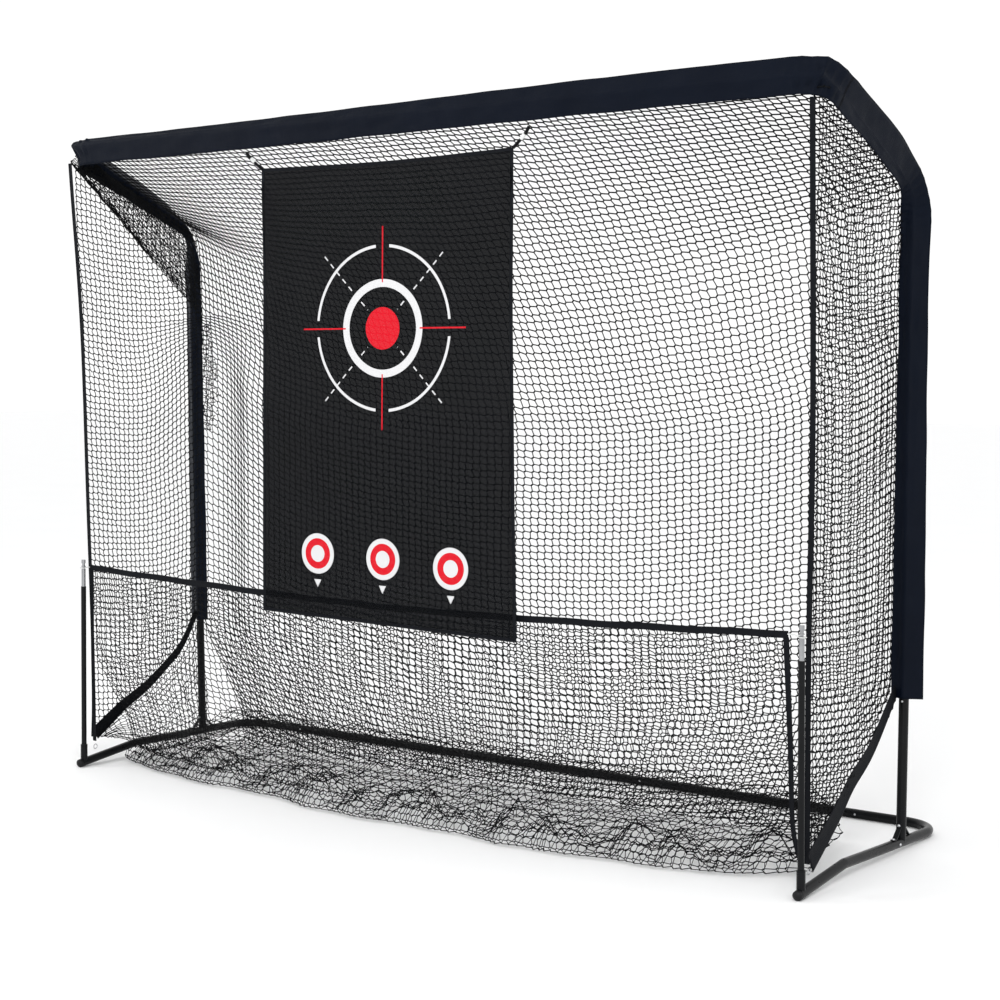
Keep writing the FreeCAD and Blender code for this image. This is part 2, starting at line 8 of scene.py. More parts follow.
import bpy
import numpy as np
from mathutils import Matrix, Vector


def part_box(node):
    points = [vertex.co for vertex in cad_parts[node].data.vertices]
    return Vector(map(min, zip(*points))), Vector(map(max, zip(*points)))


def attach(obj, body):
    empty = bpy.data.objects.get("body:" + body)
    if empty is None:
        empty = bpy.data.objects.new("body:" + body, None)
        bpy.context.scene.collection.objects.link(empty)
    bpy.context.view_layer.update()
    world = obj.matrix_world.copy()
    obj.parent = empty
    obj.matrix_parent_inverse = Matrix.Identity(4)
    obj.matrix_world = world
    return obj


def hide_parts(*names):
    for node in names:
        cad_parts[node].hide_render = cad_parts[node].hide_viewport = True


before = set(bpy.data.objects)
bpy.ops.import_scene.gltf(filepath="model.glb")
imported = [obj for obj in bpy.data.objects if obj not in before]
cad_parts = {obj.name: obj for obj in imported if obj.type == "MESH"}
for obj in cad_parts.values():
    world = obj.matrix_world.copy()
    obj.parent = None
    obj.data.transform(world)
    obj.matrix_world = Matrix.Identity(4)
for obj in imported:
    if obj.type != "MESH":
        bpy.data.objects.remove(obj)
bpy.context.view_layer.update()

rng = np.random.default_rng(63)
SIDES = (("left", -1), ("right", 1))


# ---- the cage's lines ---------------------------------------------------------------------
def span(node):
    """Lowest and highest corner of a CAD node."""
    low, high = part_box(node)
    return np.array(low), np.array(high)


bar_low, bar_high = span("top_bar_right")
STAND = np.array([1.5463, 0.205, 0.0279])  # foot of the right upright
BEND = np.array([1.558, 0.179, 2.125])  # corner of the upright and the forward slope
TOP = np.array([1.542, (bar_low[1] + bar_high[1]) / 2, (bar_low[2] + bar_high[2]) / 2])
BEND_R = 0.150  # the tube's bending radius at each
TOP_R = 0.095
TIE_Z = 1.78  # where the side and back nets are tied to the upright
cloth_low, cloth_high = span("target_cloth")
side_low, side_high = span("side_net_right")
strap_low, strap_high = span("barrier_strap")
SIDE_X = (side_low[0] + side_high[0]) / 2
BACK_Y = span("back_net")[0][1]
SLEEVE_FOOT_Z = span("upright_sleeve_right")[0][2]


# ---- geometry helpers ---------------------------------------------------------------------
def unit(v):
    """Vectors of length 1, along the last axis."""
    return v / np.maximum(np.linalg.norm(v, axis=-1, keepdims=True), 1e-12)


def smooth(value, low, high):
    """0 below low, 1 above high, and an easy curve between them."""
    t = np.clip((value - low) / (high - low), 0.0, 1.0)
    return t * t * (3.0 - 2.0 * t)


def even(count):
    """Evenly spaced numbers from 0 to 1."""
    return np.linspace(0.0, 1.0, count)


def hump(t):
    """0 at 0 and at 1, and 1 halfway."""
    return np.sin(math.pi * t)


def eased(value, stops, levels):
    """A value that moves in easy steps from level to level, reaching each at its stop."""
    total = np.full_like(value, levels[0])
    for start, end, before, after in zip(stops, stops[1:], levels, levels[1:]):
        total = total + (after - before) * smooth(value, start, end)
    return total


def mirrored(points, sign):
    """Points of the right side, moved to the left side when sign is -1."""
    points = np.array(points, float)
    points[..., :1] *= sign
    return points


def rounded_line(points, radii):
    """Straight runs joined by arcs: one radius for each inner point."""
    points = [np.asarray(p, float) for p in points]
    line = [points[0]]
    for corner, before, after, radius in zip(points[1:], points, points[2:], radii):
        back, ahead = unit(before - corner), unit(after - corner)
        half = math.acos(float(back @ ahead)) / 2
        centre = corner + unit(back + ahead) * radius / math.sin(half)
        first = corner + back * radius / math.tan(half) - centre
        last = corner + ahead * radius / math.tan(half) - centre
        turn = math.pi - 2 * half
        for t in even(13):
            share = math.sin((1 - t) * turn) * first + math.sin(t * turn) * last
            line.append(centre + share / math.sin(turn))
    line.append(points[-1])
    return np.array(line)


def resampled(line, step):
    """Evenly spaced points along a line, and each one's distance from its start."""
    line = np.asarray(line, float)
    run = np.r_[0.0, np.cumsum(np.linalg.norm(np.diff(line, axis=0), axis=1))]
    at = np.linspace(0.0, run[-1], max(2, int(round(run[-1] / step)) + 1))
    return np.stack([np.interp(at, run, line[:, i]) for i in range(3)], axis=1), at


def ripple(a, b, seed, waves=6, longest=1.0):
    """Smooth unevenness from -1 to 1 over two coordinates, the same on every run."""
    draw = np.random.default_rng(seed)
    total = 0.0
    for i in range(waves):
        pitch = longest / (1.0 + 0.7 * i)
        way = draw.uniform(0.0, 2.0 * math.pi)
        phase = draw.uniform(0.0, 2.0 * math.pi)
        along = a * math.cos(way) + b * math.sin(way)
        total = total + np.sin(along * 2 * math.pi / pitch + phase) / (1 + 0.4 * i)
    return total / 3.0


def add_piece(name, points, faces, material, body="frame"):
    """A smooth mesh piece that rides on a body. faces is a list of (n, 3) or (n, 4) index arrays."""
    faces = [np.asarray(f, np.int32) for f in faces if len(f)]
    mesh = bpy.data.meshes.new(name)
    points = np.asarray(points, np.float32).reshape(-1, 3)
    sizes = np.concatenate([np.full(len(f), f.shape[1]) for f in faces])
    corners = np.concatenate([f.ravel() for f in faces])
    mesh.vertices.add(len(points))
    mesh.vertices.foreach_set("co", points.ravel())
    mesh.loops.add(len(corners))
    mesh.loops.foreach_set("vertex_index", corners)
    mesh.polygons.add(len(sizes))
    mesh.polygons.foreach_set("loop_start", np.r_[0, np.cumsum(sizes)[:-1]].astype(np.int32))
    mesh.polygons.foreach_set("use_smooth", np.ones(len(sizes), bool))
    mesh.update(calc_edges=True)
    mesh.validate()
    mesh.materials.append(material)
    piece = bpy.data.objects.new(name, mesh)
    bpy.context.scene.collection.objects.link(piece)
    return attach(piece, body)


def thicken(piece, thickness, offset):
    """Give a cloth its two faces: offset -1 puts the second one inside, and 0 one each way."""
    wall = piece.modifiers.new("cloth", "SOLIDIFY")
    wall.thickness = thickness
    wall.offset = offset


def tube_faces(rings, sides, start, closed_ends=False):
    """Quads round each of many tubes, whose points are numbered tube by tube and ring by ring."""
    count, ring_count = rings
    index = start + np.arange(count * ring_count * sides).reshape(count, ring_count, sides)
    here, ahead = index[:, :-1], index[:, 1:]
    quads = np.stack([here, np.roll(here, -1, 2), np.roll(ahead, -1, 2), ahead], axis=-1)
    faces = [quads.reshape(-1, 4)]
    if closed_ends:
        faces += [end_fan(index[:, 0][:, ::-1]), end_fan(index[:, -1])]
    return faces


def end_fan(loops):
    """Flat triangles that close each loop of points."""
    inner = range(1, loops.shape[1] - 1)
    return np.concatenate([np.stack([loops[:, 0], loops[:, i], loops[:, i + 1]], axis=-1) for i in inner])


def loft(rings, closed_ends=True):
    """Points and faces of a tube through the given rings: (rings, points round, 3)."""
    rings = np.asarray(rings, float)
    return rings.reshape(-1, 3), tube_faces((1, rings.shape[0]), rings.shape[1], 0, closed_ends)


def cords(lines, normals, radii, sides=4):
    """Points of round cords along many lines at once: lines is (cords, points, 3)."""
    way = unit(np.gradient(lines, axis=1))
    across = unit(np.cross(way, normals[:, None]))
    over = np.cross(across, way)
    turn = (np.arange(sides) + 0.5) * 2 * math.pi / sides
    rings = np.cos(turn)[:, None] * across[:, :, None] + np.sin(turn)[:, None] * over[:, :, None]
    return lines[:, :, None] + rings * np.asarray(radii)[..., None, None]


# ---- materials ----------------------------------------------------------------------------
class Look:
    """A node material round one Principled shader, patterned in the object's own coordinates."""

    def __init__(self, name, **sockets):
        self.material = bpy.data.materials.new(name)
        self.material.use_nodes = True
        self.tree = self.material.node_tree
        self.shader = self.tree.nodes["Principled BSDF"]
        self.place = self.node("ShaderNodeTexCoord").outputs["Object"]
        for socket, value in sockets.items():
            self.shader.inputs[socket.replace("_", " ")].default_value = value

    def node(self, kind, settings=None, **inputs):
        """A node with some of its inputs set or linked; input names are given with _ for spaces."""
        made = self.tree.nodes.new(kind)
        for key, value in (settings or {}).items():
            setattr(made, key, value)
        for key, value in inputs.items():
            self.feed(made.inputs[int(key[1:]) if key[1:].isdigit() else key.replace("_", " ")], value)
        return made

    def feed(self, socket, value):
        """Link an output to a socket, or set a plain value on it."""
        if isinstance(value, bpy.types.NodeSocket):
            self.tree.links.new(value, socket)
        else:
            socket.default_value = value

    def maths(self, operation, *values):
        """One step of arithmetic on outputs and plain numbers."""
        inputs = {f"i{i}": v for i, v in enumerate(values)}
        return self.node("ShaderNodeMath", {"operation": operation}, **inputs).outputs[0]

    def noise(self, scale, detail=3.0, vector=None):
        """Cloudy unevenness."""
        place = vector or self.place
        return self.node("ShaderNodeTexNoise", Vector=place, Scale=scale, Detail=detail).outputs[0]

    def stretched(self, x, y, z):
        """The coordinates, scaled differently along each axis."""
        return self.node("ShaderNodeMapping", Vector=self.place, Scale=(x, y, z)).outputs[0]

    def bands(self, axis, pitch):
        """Soft stripes, one for each pitch along an axis."""
        settings = {"wave_type": "BANDS", "bands_direction": axis}
        scale = 2 * math.pi / (20.0 * pitch)
        return self.node("ShaderNodeTexWave", settings, Vector=self.place, Scale=scale).outputs["Fac"]

    def between(self, value, low, high):
        """The value, spread from 0..1 to low..high."""
        return self.node("ShaderNodeMapRange", i0=value, i1=0.0, i2=1.0, i3=low, i4=high).outputs[0]

    def mixed(self, share, first, second):
        """Two colours mixed by a share."""
        made = self.node("ShaderNodeMix", {"data_type": "RGBA"}, i0=share)
        self.feed(made.inputs[6], first)
        self.feed(made.inputs[7], second)
        return made.outputs[2]

    def colour(self, share, first, second):
        self.feed(self.shader.inputs["Base Color"], self.mixed(share, first, second))

    def roughness(self, pattern, low, high):
        self.feed(self.shader.inputs["Roughness"], self.between(pattern, low, high))

    def bump(self, height, distance, strength=1.0):
        made = self.node("ShaderNodeBump", Height=height, Distance=distance, Strength=strength)
        self.feed(self.shader.inputs["Normal"], made.outputs[0])
        return self


def rgb(r, g, b):
    return (r, g, b, 1.0)


def black_steel():
    """Glossy black powder coat with a faint orange peel and dusty patches."""
    look = Look("black_steel", Specular_IOR_Level=0.16)
    patches = look.noise(9.0, 5.0)
    look.colour(patches, rgb(0.0016, 0.0018, 0.0024), rgb(0.0045, 0.0050, 0.0062))
    look.roughness(look.noise(35.0, 4.0), 0.20, 0.40)
    return look.bump(look.noise(700.0, 2.0), 0.0004, 0.35).material


def bright_tip():
    """Polished chrome with fine turning marks."""
    look = Look("bright_tip", Metallic=1.0)
    look.colour(look.noise(60.0), rgb(0.27, 0.275, 0.285), rgb(0.42, 0.425, 0.435))
    look.roughness(look.noise(1.0, 4.0, look.stretched(30, 30, 900)), 0.05, 0.16)
    return look.bump(look.bands("Z", 0.0009), 0.00004, 0.4).material


def bright_steel():
    """Zinc plating: mottled, a little dull, with small scratches."""
    look = Look("bright_steel", Metallic=1.0)
    look.colour(look.noise(140.0, 6.0), rgb(0.40, 0.41, 0.43), rgb(0.66, 0.67, 0.68))
    look.roughness(look.noise(260.0, 5.0), 0.22, 0.48)
    return look.bump(look.noise(1.0, 3.0, look.stretched(400, 2500, 400)), 0.00008, 0.5).material


def cap_plastic():
    """Matt black moulded plastic with a fine sparked grain."""
    look = Look("cap_plastic", Specular_IOR_Level=0.2)
    look.colour(look.noise(40.0), rgb(0.004, 0.004, 0.005), rgb(0.009, 0.009, 0.010))
    look.roughness(look.noise(300.0), 0.42, 0.62)
    return look.bump(look.noise(1800.0, 1.0), 0.0002, 0.5).material


def woven(name, dark, pale, pitch, rough, wrinkle):
    """Plain-weave cloth: crossed threads, uneven dye, soft wrinkles."""
    look = Look(name, Specular_IOR_Level=0.06)
    warp, weft = look.bands("X", pitch), look.bands("Z", pitch)
    depth = look.bands("Y", pitch)
    threads = look.maths("MULTIPLY", look.maths("MAXIMUM", warp, depth), weft)
    worn = look.maths("MULTIPLY", look.noise(7.0, 6.0), 0.75)
    look.colour(look.maths("MULTIPLY_ADD", threads, 0.25, worn), dark, pale)
    look.roughness(look.noise(24.0, 5.0), *rough)
    creases = look.noise(1.0, 5.0, look.stretched(9.0, 9.0, 4.0))
    height = look.maths("MULTIPLY_ADD", creases, wrinkle, look.maths("MULTIPLY", threads, 0.02))
    return look.bump(height, 0.02, 0.6).material


def webbing():
    """Ribbed polyester webbing."""
    look = Look("webbing", Specular_IOR_Level=0.12)
    ribs = look.bands("DIAGONAL", 0.0016)
    patches = look.noise(18.0, 5.0)
    shade = look.maths("MULTIPLY_ADD", ribs, 0.3, look.maths("MULTIPLY", patches, 0.6))
    look.colour(shade, rgb(0.0016, 0.0021, 0.0034), rgb(0.0052, 0.0064, 0.0095))
    look.roughness(patches, 0.62, 0.85)
    return look.bump(ribs, 0.0006, 0.6).material


def net_cord():
    """Black knotted polyester twine."""
    look = Look("net_cord", Roughness=0.78, Specular_IOR_Level=0.1, Base_Color=rgb(0.0035, 0.0038, 0.0045))
    strands = look.bands("DIAGONAL", 0.0028)
    return look.bump(strands, 0.0005, 0.7).material


def cord_material():
    """Black braided cord."""
    look = Look("cord", Specular_IOR_Level=0.12)
    braid = look.maths("MULTIPLY", look.bands("DIAGONAL", 0.002), look.bands("X", 0.002))
    look.colour(braid, rgb(0.002, 0.002, 0.0025), rgb(0.008, 0.008, 0.010))
    look.roughness(look.noise(200.0), 0.6, 0.85)
    return look.bump(braid, 0.0006, 0.7).material


def clip_plastic():
    """Off-white moulded plastic."""
    look = Look("clip")
    look.colour(look.noise(90.0), rgb(0.62, 0.63, 0.62), rgb(0.80, 0.81, 0.80))
    look.roughness(look.noise(250.0), 0.35, 0.55)
    return look.bump(look.noise(900.0), 0.0002, 0.4).material


# ---- the target's print -------------------------------------------------------------------
TARGET_X = (cloth_low[0] + cloth_high[0]) / 2
TARGET_Z = 1.706  # centre of the large target
DISC_R = 0.0723
RING = (0.1405, 0.1673)
OUTER_R = 0.280
OUTER_GAP = 0.0285
CROSS = (0.156, 0.346)
DASHES = (0.090, 0.354)
BULLSEYES = ((-0.328, 0.918), (-0.042, 0.915), (0.247, 0.902))
BULLSEYE_R = (0.0713, 0.054, 0.0295)
ARROW = (0.0915, 0.119, 0.0153)  # its top and tip below the bullseye's centre, and its half width


def printed_cloth():
    """Charcoal mesh cloth, a little see-through, with the target printed on it in white and red."""
    look = Look("target_cloth", Specular_IOR_Level=0.05, Alpha=0.88)
    m = look.maths
    split = look.node("ShaderNodeSeparateXYZ", Vector=look.place)
    x, z = split.outputs["X"], split.outputs["Z"]

    def away(cx, cz):
        dx, dz = m("SUBTRACT", x, cx), m("SUBTRACT", z, cz)
        return dx, dz, m("SQRT", m("ADD", m("MULTIPLY", dx, dx), m("MULTIPLY", dz, dz)))

    def inside(value, low, high):
        return m("MULTIPLY", m("GREATER_THAN", value, low), m("LESS_THAN", value, high))

    def both(*masks):
        total = masks[0]
        for mask in masks[1:]:
            total = m("MULTIPLY", total, mask)
        return total

    def either(*masks):
        total = masks[0]
        for mask in masks[1:]:
            total = m("MAXIMUM", total, mask)
        return total

    dx, dz, r = away(TARGET_X, TARGET_Z)
    ax, az = m("ABSOLUTE", dx), m("ABSOLUTE", dz)
    nearest = m("MINIMUM", ax, az)
    diagonal = m("ABSOLUTE", m("SUBTRACT", ax, az))
    dash = m("LESS_THAN", m("FRACT", m("DIVIDE", m("ADD", r, 0.0035), 0.0375)), 0.52)
    white = [
        inside(r, *RING),
        both(inside(r, OUTER_R - 0.0050, OUTER_R + 0.0050), m("GREATER_THAN", nearest, OUTER_GAP)),
        both(m("LESS_THAN", diagonal, 0.0034), inside(r, *DASHES), dash),
    ]
    red = [m("LESS_THAN", r, DISC_R), both(m("LESS_THAN", nearest, 0.0027), inside(r, *CROSS))]
    for cx, cz in BULLSEYES:
        dx, dz, r = away(cx, cz)
        outer, middle, centre = BULLSEYE_R
        white += [inside(r, middle, outer), m("LESS_THAN", r, centre)]
        red.append(inside(r, centre, middle))
        top, tip, half = ARROW
        slope = m("MULTIPLY", m("ADD", dz, tip), half / (tip - top))
        white.append(both(m("LESS_THAN", m("ABSOLUTE", dx), slope), m("LESS_THAN", dz, -top)))

    threads = m("MULTIPLY", look.bands("X", 0.0022), look.bands("Z", 0.0022))
    cloudy = m("MULTIPLY_ADD", look.noise(5.0, 6.0), 0.7, m("MULTIPLY", threads, 0.3))
    ground = look.mixed(cloudy, rgb(0.0012, 0.0014, 0.0020), rgb(0.0040, 0.0046, 0.0060))
    ink = m("MULTIPLY_ADD", threads, -0.10, 1.0)
    pale = look.mixed(ink, rgb(0.46, 0.46, 0.47), rgb(0.72, 0.72, 0.73))
    scarlet = look.mixed(ink, rgb(0.38, 0.003, 0.008), rgb(0.66, 0.010, 0.022))
    look.colour(either(*red), look.mixed(either(*white), ground, pale), scarlet)
    look.roughness(look.noise(12.0, 4.0), 0.60, 0.82)
    folds = look.noise(1.0, 4.0, look.stretched(3.5, 1.0, 1.2))
    return look.bump(m("MULTIPLY_ADD", folds, 0.6, m("MULTIPLY", threads, 0.03)), 0.02, 0.5).material


BLACK_STEEL = black_steel()
SLEEVE = woven(
    "sleeve_cloth", rgb(0.0012, 0.0026, 0.0066), rgb(0.0040, 0.0066, 0.0140), 0.0016, (0.36, 0.55), 0.45
)
WEBBING = webbing()
NET_CORD = net_cord()
CORD = cord_material()
CLIP = clip_plastic()


def finish_steelwork():
    """Give every shown CAD node its finish."""
    finishes = {"black_steel": BLACK_STEEL, "bright_tip": bright_tip(), "bright_steel": bright_steel()}
    finishes["cap_plastic"] = cap_plastic()
    slots = (
        ("foot_cap", "cap_plastic"),
        ("post_tip", "bright_tip"),
        ("brace_bolts", "bright_steel"),
        ("snap_button", "bright_steel"),
        ("button_springs", "bright_steel"),
        ("corner_links", "bright_steel"),
    )
    for name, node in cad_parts.items():
        slot = next((s for prefix, s in slots if name.startswith(prefix)), "black_steel")
        node.data.materials.clear()
        node.data.materials.append(finishes[slot])


# ---- sleeves ------------------------------------------------------------------------------
ROUND_R = 0.0178  # cloth round the tube
SLEEVE_STEP = 0.010
STRAIGHT_POINTS = 7  # along each tail
ARC_POINTS = 10  # round each half of the tube


def envelope(inner, outer, slack):
    """Cloth pulled round a tube with a flat tail each way: (along the tail, square to it, looseness)."""

    def on_tube(angle):
        return np.array([math.cos(angle), math.sin(angle)]) * ROUND_R

    def pulled(start, end, shares):
        loose = [math.sin(math.pi * t) for t in shares]
        return [[*(start + (end - start) * t - np.array([0.0, slack * k])), k] for t, k in zip(shares, loose)]

    reach, leave = math.acos(ROUND_R / inner), math.pi - math.acos(ROUND_R / outer)
    shares = np.linspace(0.0, 1.0, STRAIGHT_POINTS, endpoint=False)
    half = pulled(np.array([inner, 0.0016]), on_tube(reach), shares)
    half += [[*on_tube(a), 0.12] for a in np.linspace(reach, leave, ARC_POINTS)]
    shares = even(STRAIGHT_POINTS)[1:]
    half += pulled(on_tube(leave), np.array([-outer, 0.0016]), shares)
    half = np.array(half)
    return np.concatenate([half, half[::-1] * np.array([1.0, -1.0, 1.0])])


def sleeve_rings():
    """Rings of the whole cover, from the foot of the left sleeve round to the foot of the right one."""
    lean = (BEND - STAND) / (BEND[2] - STAND[2])
    foot = STAND + lean * (SLEEVE_FOOT_Z - STAND[2])
    right = [foot, BEND, TOP]
    corners = [mirrored(p, -1) for p in right] + right[::-1]
    line, at = resampled(rounded_line(corners, (BEND_R, TOP_R, TOP_R, BEND_R)), SLEEVE_STEP)
    way = unit(np.gradient(line, axis=0))
    bent = np.linalg.norm(np.gradient(way, axis=0), axis=1) / SLEEVE_STEP
    from_middle = np.abs(at - at[-1] / 2)
    top = from_middle[np.argmin(np.linalg.norm(line - TOP, axis=1))]
    bend = from_middle[np.argmin(np.linalg.norm(line - BEND, axis=1))]
    # the cloth's flat tails: the inner one hangs to the opening, the outer one stands off it
    stops = (top - 0.09, top + 0.10, bend - 0.16, bend + 0.16)
    turn = np.radians(eased(from_middle, stops, (90, 98, 100, 2)))
    splay = np.radians(eased(from_middle, stops, (0, 40, 42, -10)))
    stops = (top - 0.09, top + 0.09, bend - 0.13, bend + 0.13)
    rise = np.radians(eased(from_middle, stops, (90, 66.5, 66.5, 0)))
    slant = smooth(line[:, 0], -1.45, 1.45) * smooth(bend - from_middle, 0.0, 0.6)
    inner = eased(from_middle, (top - 0.10, top + 0.60, bend + 0.18), (0.0715, 0.036, 0.044)) - 0.018 * slant
    stops = (top - 0.03, top + 0.14, bend - 0.25, bend + 0.02, bend + 0.25, bend + 1.5)
    outer = eased(from_middle, stops, (0.0245, 0.070, 0.078, 0.054, 0.050, 0.060))
    outer = outer + 0.032 * slant * smooth(top + 0.12 - from_middle, 0.0, 0.12)
    out = np.where(line[:, 0] < 0.0, -1.0, 1.0) * np.cos(turn)
    tail = -np.stack([out, np.cos(rise) * np.sin(turn), np.sin(rise) * np.sin(turn)], axis=1)
    tail = unit(tail - way * np.sum(tail * way, axis=1)[:, None])
    across = np.cross(way, tail)
    ear = 0.030 * np.exp(-(((from_middle - top) / 0.075) ** 2))
    corner = unit(mirrored(np.broadcast_to(TOP, line.shape), np.where(line[:, :1] < 0.0, -1.0, 1.0)) - line)
    rings = []
    for i, centre in enumerate(line):
        wavy = 0.0016 * math.sin(at[i] * 19.0) * math.sin(at[i] * 3.1)
        outline = envelope(inner[i] + wavy, outer[i] - 0.5 * wavy, 0.0012)
        where = np.arange(len(outline)) * 0.02
        folds = 0.0034 * ripple(at[i] + 0 * where, where, 5, 7, 0.45)
        creases = 0.0050 * min(bent[i] / 9.0, 1.0) * np.sin(at[i] * 210.0 + where * 9.0)
        swell = (folds + creases) * (outline[:, 2] + 0.15)
        outward = unit(outline[:, :2] * np.array([0.25, 1.0]))
        flat = outline[:, :2] + outward * swell[:, None]
        bow = splay[i] * smooth(-flat[:, 0], -0.02, 0.02)
        cos, sin = np.cos(bow), np.sin(bow)
        flat = np.stack([flat[:, 0] * cos - flat[:, 1] * sin, flat[:, 0] * sin + flat[:, 1] * cos], axis=1)
        offset = tail[i] * flat[:, :1] + across[i] * flat[:, 1:]
        push = np.maximum(unit(offset) @ corner[i], 0.0)[:, None]
        rings.append(centre + offset + ear[i] * push * corner[i])
    return np.array(rings), line, at


def make_sleeves():
    """The cover in its three sewn lengths, each a tube of cloth open at its ends."""
    rings, line, at = sleeve_rings()
    seam = TOP[1] + 0.11  # along the slope, behind the top corner
    left = int(np.argmax(line[:, 1] < seam))
    right = len(line) - 1 - int(np.argmax(line[::-1, 1] < seam))
    parts = (
        ("cover_left", 0, left + 1, ["slope_sleeve_left", "upright_sleeve_left"]),
        ("cover_top", left - 1, right + 2, ["top_sleeve"]),
        ("cover_right", right, len(line), ["slope_sleeve_right", "upright_sleeve_right"]),
    )
    for name, first, last, nodes in parts:
        piece = add_piece(name, *loft(rings[first:last], closed_ends=False), SLEEVE)
        thicken(piece, 0.0012, -1.0)
        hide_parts(*nodes)


# ---- webbing ------------------------------------------------------------------------------
def webbing_piece(name, line, across, width, nodes=(), thick=0.0026, body="frame"):
    """A strap along a line: its width directions, its width and thickness, and turned-over edges."""
    line = np.asarray(line, float)
    way = unit(np.gradient(line, axis=0))
    across = np.broadcast_to(across, line.shape)
    across = unit(across - way * np.sum(across * way, axis=1)[:, None])
    over = np.cross(way, across)
    a = np.array([-1.0, -0.95, -0.80, -0.72, 0.0, 0.72, 0.80, 0.95, 1.0])
    b = np.array([0.35, 0.90, 1.00, 0.72, 0.66, 0.72, 1.00, 0.90, 0.35])
    section = np.stack([np.r_[a, a[::-1]], np.r_[b, -b[::-1]]], axis=1)
    widths = np.broadcast_to(width, len(line))
    rings = [
        p + u * section[:, :1] * w / 2 + v * section[:, 1:] * thick / 2
        for p, u, v, w in zip(line, across, over, widths)
    ]
    piece = add_piece(name, *loft(rings), WEBBING, body)
    if nodes:
        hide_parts(*nodes)
    return piece


def spline(points, step=0.012):
    """A smooth line through a few points (Catmull-Rom)."""
    points = np.asarray(points, float)
    ends = np.concatenate([[2 * points[0] - points[1]], points, [2 * points[-1] - points[-2]]])
    line = []
    for a, b, c, d in zip(ends, ends[1:], ends[2:], ends[3:]):
        t = np.linspace(0.0, 1.0, 16, endpoint=False)[:, None]
        square, cube = 2 * a - 5 * b + 4 * c - d, 3 * b - a - 3 * c + d
        line.append(0.5 * (2 * b + (c - a) * t + square * t**2 + cube * t**3))
    return resampled(np.concatenate([*line, points[-1:]]), step)[0]


BINDING = np.array(  # down the front edge of the right side net
    [[1.535, -0.502, 2.356], [1.523, -0.488, 1.700], [1.516, -0.465, 0.790], [1.514, -0.454, 0.094]]
)
BINDING_TOP_X = {"left": 1.560, "right": 1.514}  # |X| of each binding's top, which the cover pulls aside
DIAGONAL_X = 1.5252
DIAGONALS = {  # Y and Z down each diagonal strap's centre
    "left": (
        (0.150, 0.545), (0.066, 0.421), (-0.024, 0.349), (-0.153, 0.269), (-0.290, 0.207), (-0.440, 0.120),
    ),
    "right": ((0.190, 0.530), (0.000, 0.370), (-0.154, 0.288), (-0.270, 0.205), (-0.452, 0.098)),
}
DIAGONAL_WIDTHS = {"left": (0.026, 0.052), "right": (0.046, 0.072)}  # at the top and at the bottom
STRAP_SAG = 0.039
STRAP_HALF = 0.011  # half its width


def binding_y(z):
    """Y of the front binding at a height."""
    line = BINDING[::-1]
    return np.interp(z, line[:, 2], line[:, 1])


def strap_z(x):
    """Height of the barrier strap's centre."""
    return strap_high[2] - STRAP_HALF - STRAP_SAG * (1.0 - (np.abs(x) / strap_high[0]) ** 1.6)


def diagonal_line(side, sign):
    """Centre line of a diagonal strap."""
    return spline([[sign * DIAGONAL_X, y, z] for y, z in DIAGONALS[side]])


def make_bindings():
    """Webbing down the front of each side net and along its slanting lower edge."""
    made = {}
    for side, sign in SIDES:
        front = mirrored(BINDING, sign)
        front[0, 0] = sign * BINDING_TOP_X[side]
        front = spline(front, 0.02)
        front[:, 0] += 0.0015 * np.sin(front[:, 2] * 5.3 + sign)
        name = "front_binding_" + side
        made[name] = webbing_piece("edge_" + name, front, np.array([1.0, 0, 0]), 0.018, [name])
        line = diagonal_line(side, sign)
        run = even(len(line))
        width = np.linspace(*DIAGONAL_WIDTHS[side], len(line)) + 0.004 * smooth(run, 0.6, 1.0)
        across = np.cross(unit(np.gradient(line, axis=0)), np.array([sign, 0.0, 0.0]))
        name = "diagonal_binding_" + side
        made[name] = webbing_piece("edge_" + name, line, across, width, [name])
    return made


# ---- nets ---------------------------------------------------------------------------------
TWINE_R = 0.0015
KNOT_REACH = 0.105  # half a knot's length, as a share of the mesh's diagonal
MESH_Z = 0.0248  # pitch of the back net's rows


def uneven(nodes):
    """Knots of a net moved a little from their even places."""
    right = np.gradient(nodes, axis=1)
    up = -np.gradient(nodes, axis=0)
    nodes = nodes + right * rng.normal(0, 0.04, nodes.shape[:2])[..., None]
    return nodes + up * rng.normal(0, 0.05, nodes.shape[:2])[..., None]


